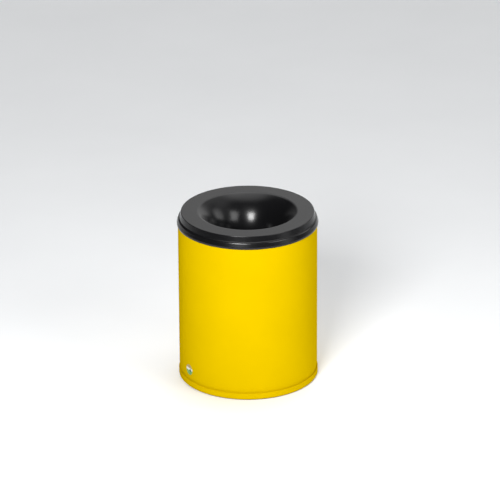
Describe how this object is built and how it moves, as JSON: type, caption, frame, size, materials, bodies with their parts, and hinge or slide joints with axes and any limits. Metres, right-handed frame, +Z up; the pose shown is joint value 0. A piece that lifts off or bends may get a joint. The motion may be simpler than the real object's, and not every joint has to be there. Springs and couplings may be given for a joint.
{
  "type": "self-extinguishing waste can",
  "caption": "Round steel safety can for oily rags and waste: yellow drum with a foot band, lift-out galvanised liner with drop handles, black lift-off head with a flame-smothering funnel mouth.",
  "frame": {"origin": "centre of the circle that the can stands on, on the floor", "axes": "+Z up along the axis of the drum; -Y is the front that the picture looks at; +X is the can's right seen from the front"},
  "size_m": [0.3198, 0.3198, 0.398],
  "materials": {
    "yellow_coat": "satin powder coat",
    "black_coat": "satin powder coat",
    "galvanised_sheet": "hot-dip zinc",
    "steel_wire": "zinc plated",
    "black_rubber": "matte",
    "badge_vinyl": "printed vinyl"
  },
  "bodies": {
    "drum": {"drum_shell": "yellow_coat", "drum_rim_wire": "steel_wire", "foot_band": "yellow_coat", "base_plate": "yellow_coat", "floor_ring": "black_rubber", "badge": "badge_vinyl"},
    "liner": {"liner_shell": "galvanised_sheet", "liner_base": "galvanised_sheet", "handle_bracket_left": "galvanised_sheet", "handle_bracket_right": "galvanised_sheet", "bracket_rivets": "steel_wire"},
    "handle_left": {"drop_handle_left": "steel_wire"},
    "handle_right": {"drop_handle_right": "steel_wire"},
    "head": {"head_cover": "black_coat", "throat_wire": "steel_wire"}
  },
  "joints": [
    {"name": "liner_lift", "type": "slide", "parent": "drum", "child": "liner", "axis": [0, 0, 1], "range_m": [0, 0.37]},
    {"name": "head_lift", "type": "slide", "parent": "liner", "child": "head", "axis": [0, 0, 1], "range_m": [0, 0.12]},
    {"name": "handle_left_swing", "type": "hinge", "parent": "liner", "child": "handle_left", "pos_m": [-0.13685, 0, 0.358], "axis": [0, -1, 0], "range_deg": [0, 165]},
    {"name": "handle_right_swing", "type": "hinge", "parent": "liner", "child": "handle_right", "pos_m": [0.13685, 0, 0.358], "axis": [0, 1, 0], "range_deg": [0, 165]}
  ]
}
